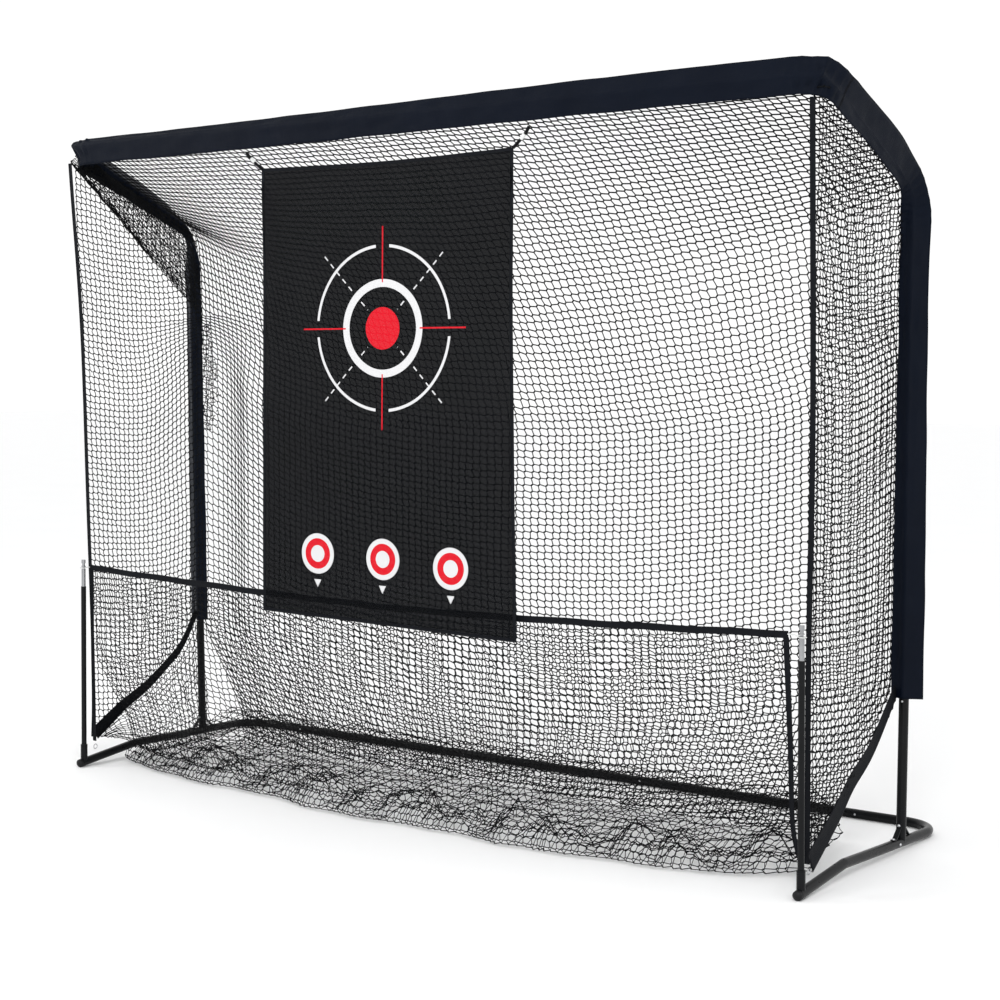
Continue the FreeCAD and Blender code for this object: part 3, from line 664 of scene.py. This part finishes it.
def net_layer(nodes, keep, bow=0.0, slack=0.0015, segments=1, start=0, shared=False, twine=TWINE_R):
    """Twine and knots of one layer, from a grid of knots whose rows run downwards: (points, faces)."""
    right = np.gradient(nodes, axis=1)
    up = -np.gradient(nodes, axis=0)
    normal = unit(np.cross(right, up))
    reach = KNOT_REACH * (right + up)
    t = even(segments + 1)[:, None]
    parts = []

    def legs(first, last, ok, facing, stout):
        lines = first[ok][:, None] * (1 - t) + last[ok][:, None] * t
        if segments > 1:
            loose = rng.normal(0, slack, (len(lines), 1, 3)) + np.array([0, 0, -bow])
            lines = lines + loose * hump(t)
        parts.append((cords(lines, facing[ok], np.full((1, segments + 1), twine * stout)), segments + 1))

    below = np.arange(len(nodes))[:, None] >= int(shared)  # a shared first row belongs to the net above
    level, upright = keep[:, :-1] & keep[:, 1:] & below, keep[:-1] & keep[1:]
    legs(nodes[:, :-1] + reach[:, :-1], nodes[:, 1:] - reach[:, 1:], level, normal[:, 1:], 1.1)
    legs(nodes[:-1] - reach[:-1], nodes[1:] + reach[1:], upright, normal[1:], 0.9)
    along = np.array([-1.35, -0.55, 0.55, 1.35])[:, None]
    knots = keep & below
    lines = nodes[knots][:, None] + reach[knots][:, None] * along
    parts.append((cords(lines, normal[knots], twine * np.array([[0.7, 1.75, 1.75, 0.7]])), 4))
    points, faces = [], []
    for rings, count in parts:
        faces += tube_faces((len(rings), count), 4, start)
        points.append(rings.reshape(-1, 3))
        start += len(points[-1])
    return np.concatenate(points), faces


def net_piece(name, layers, nodes):
    """One net made of layers of (grid, mask, options)."""
    points, faces, start = [], [], 0
    for grid, keep, options in layers:
        part, part_faces = net_layer(grid, keep, start=start, **options)
        points.append(part)
        faces += part_faces
        start += len(part)
    piece = add_piece(name, np.concatenate(points), faces, NET_CORD)
    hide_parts(*nodes)
    return piece


ROOF_START = np.array([TOP[1] + 0.0125, TOP[2] - 0.036])  # Y and Z where the roof net leaves the top sleeve
EAVES = np.array([-0.400, 2.384])  # and where it meets the slope sleeve
SHOULDER = np.array([0.186, 2.132])  # where it turns down between the bends
BACK_TOP_Z = 1.56  # from here down the back net hangs plumb
CORNER_START = 1.30  # |X| where the back net starts to turn forward to the side net
HALF_CUT = 1.585  # half the back net's width when flat
END_X = 1.530  # |X| where the roof and back nets meet the sleeves
ROOF_ROWS = 47
BACK_COLUMNS = 108
BACK_TWINE_R = 0.0021
TIE_REACH = 1.1  # how far down the tie still gathers the rows
MID_SAG = 0.25  # how much lower the back net's rows hang at mid-span


def tie_pull(z, share):
    """How far rows below the tie are drawn up to it: closer together the nearer they are."""
    below = np.clip((TIE_Z - z) / TIE_REACH, 0.0, 1.0)
    return TIE_REACH * below * (1.0 - below) ** 2 * share


def roof_profile():
    """Y and Z of the roof's rows: beside the sleeves (tight) and at mid-span (slack)."""
    back = np.array([BACK_Y, BACK_TOP_Z])
    flat = [np.r_[0.0, p] for p in (ROOF_START, EAVES, SHOULDER, np.array([BACK_Y - 0.004, 1.93]), back)]
    tight, _ = resampled(rounded_line(flat, (0.03, 0.10, 0.4)), 0.002)
    t = even(400)[:, None]
    middle = np.array([0.105, 2.035])
    loose = (1 - t) ** 2 * ROOF_START + 2 * t * (1 - t) * middle + t**2 * back
    loose, _ = resampled(np.c_[0 * t, loose], 0.002)
    share = even(ROOF_ROWS)
    return [
        np.stack([np.interp(share, even(len(line)), line[:, i]) for i in (1, 2)], axis=1)
        for line in (tight, loose)
    ]


def back_grid():
    """Knots of the whole roof and back net, from the top sleeve down to the floor."""
    tight, loose = roof_profile()
    plumb_z = np.arange(BACK_TOP_Z - MESH_Z, -0.055, -MESH_Z)
    column = np.linspace(-1.0, 1.0, BACK_COLUMNS)
    u = HALF_CUT * (1.06 * column - 0.06 * column**3)
    spread = np.abs(u) / HALF_CUT
    hold = spread[None] ** 2.6  # 1 at the sleeves, which hold the net up, and 0 at mid-span
    y_roof, z_roof = (loose[:, i, None] * (1 - hold) + tight[:, i, None] * hold for i in (0, 1))
    y = np.concatenate([y_roof, np.full((len(plumb_z), len(u)), BACK_Y)])
    z = np.concatenate([z_roof, np.repeat(plumb_z[:, None], len(u), 1)])
    free = smooth(TIE_Z - z, 0.02, 0.30) * smooth(z, 0.36, 0.62)  # where the edges hang off the uprights
    turn = np.clip((np.abs(u) - CORNER_START) / (HALF_CUT - CORNER_START), 0.0, 1.0)[None]
    x_back = np.minimum(np.abs(u), CORNER_START) + (END_X - CORNER_START) * (1.2 * turn - 0.2 * turn**2)
    tied = END_X + 0.016 * smooth(z, 2.05, 2.20)
    x = np.sign(u) * (spread * tied * (1 - free) + x_back * free)
    low = smooth(0.56 - z, 0.0, 0.46)  # the lower corners step inward
    x = x * (1 - 0.150 * low)
    y = y + free * (0.045 * hump(turn) - 0.010 * turn**3)
    row = np.arange(len(z))[:, None] / (ROOF_ROWS - 1.0)
    z = z - MID_SAG * (1 - (x / END_X) ** 2) * smooth(row, 0.05, 1.1)
    z = z + tie_pull(z, smooth(np.abs(u), 0.95, HALF_CUT)[None] ** 1.7 * (0.62 - 0.13 * np.sign(u)))
    y = y + 0.020 * ripple(x, z, 11, 5, 2.4) * smooth(z, 0.1, 0.9) * (1 - hold) * smooth(row, 0.3, 0.9)
    x = x + 0.005 * ripple(z, x, 12, 6, 0.8) * (1 - hold)
    z = z + 0.006 * ripple(x, z, 13, 6, 1.3) * smooth(row, 0.0, 0.3)
    trailing = np.maximum(0.030 - z, 0.0)  # what reaches the floor lies forward on it
    y = y - trailing
    z = np.maximum(z, 0.006 + 0.024 * np.exp(-trailing / 0.02))
    return uneven(np.stack([x, y, z], axis=-1)), trailing < 0.032


def make_back():
    """The roof net and the two halves of the back net."""
    grid, keep = back_grid()
    split = 30  # rows of the roof above the bends
    middle = grid.shape[1] // 2
    roof = [(grid[: split + 1], keep[: split + 1], dict(twine=BACK_TWINE_R))]
    net_piece("net_roof", roof, ["roof_net"])
    for side, columns in (("left", slice(0, middle)), ("right", slice(middle - 1, None))):
        layers = [(grid[split:, columns], keep[split:, columns], dict(shared=True, twine=BACK_TWINE_R))]
        net_piece("net_back_" + side, layers, ["back_net"])


def slope_z(y):
    """Height of the forward slope's axis at a depth."""
    return BEND[2] + (y - BEND[1]) * (TOP[2] - BEND[2]) / (TOP[1] - BEND[1])


SIDE_PITCH = 0.0240
SIDE_COLUMNS = 27
SIDE_TWINE = {"left": (0.00175, 0.80), "right": (0.0015, 0.55)}  # its radius and share of the net


def side_x(z):
    """|X| of the side nets at a height."""
    return SIDE_X - 0.001 + 0.019 * smooth(z, 1.8, 2.15)


def side_grid(side, sign):
    """Knots of one side net and the mask that its slanting edges cut."""
    z0 = np.arange(2.40, 0.08, -SIDE_PITCH)[:, None]
    t = even(SIDE_COLUMNS)[None]
    rear = 0.174
    y = binding_y(z0) + 0.004 + (rear - binding_y(z0) - 0.004) * t
    z = z0 + tie_pull(z0, smooth(t, 0.25, 1.0) ** 1.8 * (0.50 - 0.25 * sign)) - 0.028 * hump(t)
    z = z + 0.005 * ripple(y, z0, 21 + sign, 6, 0.7)
    x = side_x(z0) + 0.016 * hump(t) * ripple(z, y, 23 + sign, 5, 1.6) - 0.006 * t**2
    strap = diagonal_line(side, 1)
    order = np.argsort(strap[:, 1])
    lowest = np.interp(y, strap[order, 1], strap[order, 2])
    keep = (z > lowest) & (z < slope_z(y) + 0.006) & (z < 2.365)
    return uneven(np.stack([sign * x, y, z], axis=-1)), keep


def gusset_grids():
    """Two crumpled layers of slack net between the left slope and the fold that runs to the tie."""
    grids = []
    for layer, bulge in enumerate((0.014, -0.020)):
        a = even(32)[None]
        b = even(16)[:, None] ** (0.75, 1.0)[layer]
        y = -0.465 + a * (0.172 + 0.465)
        high = slope_z(y) - 0.018
        low = 2.330 + a * (TIE_Z + 0.010 - 2.330) - 0.006 * hump(a)
        z = high + (low - high) * b
        sway = 0.065 * (layer * 2 - 1) * hump(b) * (1 - a)
        y = y + sway + 0.009 * ripple(z, y, 30 + layer, 7, 0.2)
        z = z + 0.008 * ripple(y, z, 32 + layer, 7, 0.17) * hump(np.minimum(b * 1.3, 1.0))
        belly = bulge * hump(b) * hump(a)
        x = side_x(z) + belly + 0.007 * ripple(y, z, 35 + layer, 6, 0.15)
        grids.append((uneven(np.stack([-x, y + 0 * z, z], axis=-1)), (z < slope_z(y) - 0.005) & (y < 0.176)))
    return grids


def fold_grid():
    """Slack net gathered against the left upright below the tie: crumpled, and thinning out downwards."""
    down = np.linspace(0.03, 0.46, 24)[:, None]
    a = even(11)[None]
    crumple = 0.007  # how far it wanders each way
    x = 1.566 - a * (0.050 + 0.17 * down) + crumple * ripple(down, a * 0.3, 61, 7, 0.08)
    y = 0.216 + 0.016 * a + crumple * ripple(a * 0.3, down, 62, 7, 0.08)
    z = TIE_Z - down - 0.05 * a * (1 - a) + crumple * ripple(a * 0.3, down, 63, 7, 0.08)
    keep = (a + 0 * down) < 1.1 - 1.9 * np.maximum(down - 0.20, 0.0) + 0.25 * ripple(down, a, 64, 5, 0.1)
    return uneven(np.stack([-x, y, z], axis=-1)), keep


def skirt_grid():
    """Slack net hanging inside the left arm, from the diagonal strap down to the floor."""
    strap = diagonal_line("left", 1)[::-1]
    a = even(25)[None]
    b = even(15)[:, None]
    y = np.interp(a, even(len(strap)), strap[:, 1])
    high = np.interp(a, even(len(strap)), strap[:, 2]) - 0.008
    low = 0.105 - 0.093 * smooth(a, 0.0, 0.42)
    z = high + (low - high) * b + 0.006 * ripple(y, b, 71, 6, 0.3)
    y = y + 0.045 * b * (1 - a) + 0.008 * ripple(b, y, 72, 6, 0.3)
    x = 1.516 - 0.055 * b + 0.018 * ripple(y, z, 73, 6, 0.35) * np.sin(math.pi * b * 0.8)
    return uneven(np.stack([-x, y, np.maximum(z, 0.006)], axis=-1)), np.ones(z.shape, bool)


def make_sides(bindings):
    """Both side nets; the left one also has its slack showing above, behind and below it."""
    crumpled = dict(twine=0.0014)
    for side, sign in SIDES:
        twine, share = SIDE_TWINE[side]
        layers = [(*side_grid(side, sign), dict(segments=2, bow=0.0006, twine=twine))]
        if side == "left":
            layers += [(*layer, crumpled) for layer in (*gusset_grids(), fold_grid(), skirt_grid())]
        net_piece("net_side_" + side, layers, ["side_net_" + side])


# ---- barrier and catch net ----------------------------------------------------------------
def catch_front(x):
    """Y of the catch net's front edge on the floor."""
    right = 0.125 * np.maximum(x / 1.22, 0.0) ** 5
    left = 0.065 * smooth(-x, 0.3, 0.8) + 0.10 * np.maximum(-x / 1.4, 0.0) ** 8
    return -0.532 + right + left + 0.011 * np.sin(x * 9.0) + 0.006 * np.sin(x * 23.0 + 1.0)


BARRIER_ENDS = {  # X and Z down each end of the barrier
    "left": ((-1.487, 0.780), (-1.488, 0.500), (-1.488, 0.260), (-1.494, 0.118)),
    "right": ((1.451, 0.776), (1.470, 0.450), (1.481, 0.220), (1.503, 0.118)),
}
STRAP_ENDS = (-1.500, 1.458)
BARRIER_GRID = (31, 113)  # rows and columns of knots
CATCH_ROWS = 20
POST_RING_R = 0.0132  # of the elastic loop round a post's tip


def barrier_edge(side):
    """Line of the webbing down one end of the barrier."""
    return spline([(x, -0.4845, z) for x, z in BARRIER_ENDS[side]])


def make_loop(side, start):
    """Elastic loop from the end of the strap round the post's tip."""
    low, high = span("post_tip_" + side)
    centre = np.array([(low[0] + high[0]) / 2, (low[1] + high[1]) / 2, start[2]])
    away = unit(start - centre)
    first = math.atan2(away[1], away[0])
    turn = first + np.linspace(0.5, 2 * math.pi - 0.5, 22)
    ring = [centre + POST_RING_R * np.array([math.cos(a), math.sin(a), 0.0]) for a in turn]
    line = spline([start, *ring[::3], ring[-1], start + np.array([0, 0, 0.002])], 0.004)
    line[:, 2] += 0.0012 * np.sin(np.linspace(0, 9, len(line)))
    normals = np.array([[0.0, 0.0, 1.0]])
    rings = cords(line[None], normals, np.full((1, len(line)), 0.0013), 8)[0]
    piece = add_piece("loop_" + side, *loft(rings), CLIP)
    return piece


def make_barrier():
    """The low net across the front, with its strap, end bindings and loops."""
    x = np.linspace(*STRAP_ENDS, 160)
    y = np.full_like(x, (strap_low[1] + strap_high[1]) / 2)
    strap = np.stack([x, y, strap_z(x) + 0.0012 * np.sin(x * 21.0)], axis=1)
    up, right = np.array([0, 0, 1.0]), np.array([1.0, 0, 0])
    trims = [webbing_piece("edge_strap", strap, up, 2 * STRAP_HALF, ["barrier_strap"])]
    for side, sign in SIDES:
        line = barrier_edge(side)
        width = np.linspace(0.019, 0.015, len(line))
        name = "edge_barrier_" + side
        trims.append(webbing_piece(name, line, right, width, ["barrier_bindings"]))
        trims.append(make_loop(side, strap[0 if side == "left" else -1] + np.array([-0.002 * sign, 0, 0])))

    rows, columns = BARRIER_GRID
    share = even(columns)[None]
    pleats = share + 0.0050 * ripple(share, 0 * share, 40, 9, 0.16) * hump(share)
    v = even(rows)[:, None]
    ends = [barrier_edge(side)[::-1] for side, _ in SIDES]
    head = strap_z(STRAP_ENDS[0] + pleats * (STRAP_ENDS[1] - STRAP_ENDS[0])) - 0.009
    z = head - v * (head - 0.055)
    inward = 0.09 * smooth(0.14 - z, 0.0, 0.12)
    first, last = (np.interp(z, end[:, 2], end[:, 0]) for end in ends)
    x = (first + 0.004 + inward * 0.4) * (1 - pleats) + (last - 0.004 - inward) * pleats
    x = x + 0.007 * ripple(pleats * 2.9, z * 0.4, 41, 8, 0.26) * smooth(v, 0.0, 0.2)
    front = strap_high[1] + (catch_front(x) + 0.035 - strap_high[1]) * smooth(v, 0.35, 1.0)
    y = front + 0.013 * (1.0 + ripple(x, z * 0.35, 42, 7, 0.20)) * smooth(v, 0.0, 0.35)
    z = z + 0.006 * ripple(x, z, 43, 8, 0.22) * smooth(v, 0.0, 0.15)
    grid = uneven(np.stack([x, np.maximum(y, -0.575), z], axis=-1))
    net_piece(
        "net_barrier", [(grid, np.ones(z.shape, bool), dict(segments=2, slack=0.0016))],
        ["barrier_net", "barrier_strap", "barrier_bindings"],
    )
    make_catch(grid[-1], pleats)


def make_catch(foot, pleats):
    """The slack net on the floor, from the barrier's lowest row of knots back to the back net."""
    v = even(CATCH_ROWS)[:, None]
    roll_share = 0.16  # the first part of its length is the roll along the front
    front = catch_front(foot[:, 0])[None]
    roll = np.clip(v / roll_share, 0.0, 1.0)
    along = np.clip((v - roll_share) / (1.0 - roll_share), 0.0, 1.0)
    y = foot[None, :, 1] * (1 - roll) + (front + 0.012) * roll - 0.028 * hump(roll)
    y = y + along * (0.195 - front - 0.012)
    wander = 0.012 * ripple(pleats * 2.9, y, 51, 8, 0.25) * smooth(along, 0.0, 0.1)
    x = foot[None, :, 0] * (1 - 0.06 * along) + wander
    heap = np.exp(-(((y - front - 0.13) / 0.13) ** 2))
    hills = np.maximum(ripple(x, y, 52, 9, 0.36) + 0.35, 0.0)
    z = 0.055 * (1 - roll) ** 1.2 + 0.010 + 0.13 * along**1.6
    lumps = 0.080 * heap * hills + 0.022 * np.maximum(ripple(x, y, 53, 8, 0.16), 0.0)
    z = z + lumps * smooth(along, 0.0, 0.06)
    z = np.maximum(z, 0.0055)
    grid = uneven(np.stack([x, y, z], axis=-1))
    net_piece(
        "net_catch", [(grid, np.ones(z.shape, bool), dict(twine=0.0015))], ["floor_net"],
    )


# ---- target -------------------------------------------------------------------------------
CLOTH_CORNERS = {  # X and Z of the hung cloth's corners
    "top_left": (-0.583, 2.277),
    "top_right": (0.486, 2.281),
    "low_left": (-0.580, 0.697),
    "low_right": (0.507, 0.677),
}
CLOTH_GRID = (121, 121)
TARGET_CORDS = {  # from the top sleeve, through the clip, to the cloth's corner
    "left": ((-0.654, 2.338), (-0.643, 2.324), (-0.620, 2.303), (-0.603, 2.291), (-0.582, 2.275)),
    "right": ((0.545, 2.343), (0.538, 2.329), (0.521, 2.311), (0.505, 2.296), (0.485, 2.279)),
}
CORD_R = 0.0055


def cloth_points():
    """The hung cloth: its top edge sags between its corners and soft folds run down from them."""
    u = even(CLOTH_GRID[0])[:, None]
    v = even(CLOTH_GRID[1])[None]
    c = {k: np.array(p) for k, p in CLOTH_CORNERS.items()}
    flat = (1 - v)[..., None] * ((1 - u)[..., None] * c["top_left"] + u[..., None] * c["top_right"])
    flat = flat + v[..., None] * ((1 - u)[..., None] * c["low_left"] + u[..., None] * c["low_right"])
    sag = 0.010 * hump(u) * (1 - v) ** 3
    x = flat[..., 0] + 0.004 * hump(v) * (1 - 2 * u)
    z = flat[..., 1] - sag
    middle = (cloth_low[1] + cloth_high[1]) / 2
    drape = 0.005 * (ripple(x, z * 0.25, 61, 5, 0.55) - 0.9 * v) * smooth(v, 0.0, 0.25)
    pulls = 0.0016 * np.sin(34.0 * (u - 0.5) + 5.0 * v) * np.exp(-4.0 * v)
    for corner, slants in (("top_left", (0.10, 0.17, 0.26)), ("top_right", (-0.16, -0.28))):
        down = c[corner][1] - z
        for slant in slants:
            off = (x - c[corner][0] - slant * down) / 0.011
            groove = 0.0042 * np.exp(-(off**2)) * smooth(down, 0.02, 0.15)
            pulls = pulls - groove * smooth(0.85 - down, 0.0, 0.5)
    return np.stack([x, middle + drape + pulls, z], axis=-1)


def make_target():
    """The printed cloth with its bound edges, hung from two short cords with a clip on each."""
    cloth = cloth_points()
    columns, rows = CLOTH_GRID
    index = np.arange(columns * rows).reshape(columns, rows)
    quads = np.stack([index[:-1, :-1], index[:-1, 1:], index[1:, 1:], index[1:, :-1]], axis=-1)
    piece = add_piece("cloth_target", cloth.reshape(-1, 3), [quads.reshape(-1, 4)], printed_cloth(), "target")
    thicken(piece, 0.0008, 0.0)
    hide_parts("target_cloth")
    edges = {
        "top": (cloth[:, 0], (0, 0, -1.0)),
        "low": (cloth[:, -1], (0, 0, 1.0)),
        "left": (cloth[0], (1.0, 0, 0)),
        "right": (cloth[-1], (-1.0, 0, 0)),
    }
    for name, (line, inward) in edges.items():
        inward = np.array(inward)
        hem = resampled(line, 0.012)[0] + inward * 0.0055
        webbing_piece("hem_" + name, hem, inward, 0.012, thick=0.0030, body="target")
    for side, _ in SIDES:
        make_cord(side, cloth_low[1] + 0.0006)


def make_cord(side, y):
    """One cord from the top sleeve to the cloth's corner, with its clip."""
    points = [(x, y, z) for x, z in TARGET_CORDS[side]]
    curve = bpy.data.curves.new("cord_" + side, "CURVE")
    curve.dimensions = "3D"
    curve.bevel_depth = CORD_R
    curve.bevel_resolution = 3
    curve.use_fill_caps = True
    path = curve.splines.new("NURBS")
    path.points.add(len(points) - 1)
    for point, place in zip(path.points, points):
        point.co = (*place, 1.0)
    path.order_u = 3
    path.use_endpoint_u = True
    curve.materials.append(CORD)
    cord = bpy.data.objects.new("cord_" + side, curve)
    bpy.context.scene.collection.objects.link(cord)
    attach(cord, "target")
    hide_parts("target_cords")
    clip = make_clip(side, np.array(points[1]), np.array(points[3]))


def make_clip(side, high, low):
    """A ribbed barrel clip round the cord, with a collar at each end."""
    way = unit(low - high)
    middle = (high + low) / 2
    across = np.array([0.0, 1.0, 0.0])
    over = np.cross(way, across)
    # distance from the clip's middle and radius there, in millimetres, as far as the middle
    steps = (
        (-11, 5.8), (-10.4, 7.2), (-8.4, 7.4), (-7.8, 6.4), (-4, 6.5), (-3.4, 7.2), (-2, 7.2), (-1.4, 6.5),
    )
    steps = steps + tuple((-a, r) for a, r in steps[::-1])
    turn = np.linspace(0, 2 * math.pi, 20, endpoint=False)[:, None]
    rings = [
        middle + way * a / 1000 + (np.cos(turn) * across + np.sin(turn) * over) * r / 1000 for a, r in steps
    ]
    clip = add_piece("clip_" + side, *loft(rings), CLIP, "target")
    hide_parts("target_clips")
    return clip


# ---- studio -------------------------------------------------------------------------------
def make_camera():
    data = bpy.data.cameras.new("camera")
    data.sensor_width = 36.0
    data.lens = 67.10
    data.shift_x = 0.100
    camera = bpy.data.objects.new("camera", data)
    camera.location = (3.8194, -5.5740, 1.6000)
    camera.rotation_euler = (math.pi / 2 - 0.0752, 0.0, 0.6415)
    bpy.context.scene.collection.objects.link(camera)
    bpy.context.scene.camera = camera


def area_light(name, place, aim, size, power):
    """A square soft light that faces a point."""
    data = bpy.data.lights.new(name, "AREA")
    data.shape = "SQUARE"
    data.size = size
    data.energy = power
    light = bpy.data.objects.new(name, data)
    light.location = place
    way = unit(np.array(aim, float) - np.array(place, float))
    yaw = math.atan2(way[1], way[0]) - math.pi / 2
    light.rotation_euler = (math.acos(-way[2]), 0.0, yaw)
    bpy.context.scene.collection.objects.link(light)


def make_studio():
    """Pale floor, white surroundings and soft lights."""
    look = Look("floor", Specular_IOR_Level=0.2)
    look.colour(look.noise(1.5, 3.0), rgb(0.93, 0.935, 0.94), rgb(0.955, 0.955, 0.955))
    look.roughness(look.noise(4.0), 0.7, 0.85)
    mesh = bpy.data.meshes.new("floor")
    far = 40.0
    mesh.from_pydata([(-far, -far, 0), (far, -far, 0), (far, far, 0), (-far, far, 0)], [], [(0, 1, 2, 3)])
    mesh.materials.append(look.material)
    floor = bpy.data.objects.new("floor", mesh)
    bpy.context.scene.collection.objects.link(floor)
    world = bpy.data.worlds.new("studio")
    world.use_nodes = True
    world.node_tree.nodes["Background"].inputs["Color"].default_value = rgb(1.0, 1.0, 1.0)
    world.node_tree.nodes["Background"].inputs["Strength"].default_value = 1.05
    bpy.context.scene.world = world
    bpy.context.scene.view_settings.view_transform = "Standard"
    area_light("key", (3.2, -4.6, 3.4), (0.6, 0.0, 0.9), 1.2, 110.0)
    area_light("fill", (-4.6, -3.2, 3.4), (0.0, 0.0, 1.0), 1.4, 70.0)


make_camera()
make_studio()
finish_steelwork()
make_sleeves()
make_back()
make_sides(make_bindings())
make_barrier()
make_target()
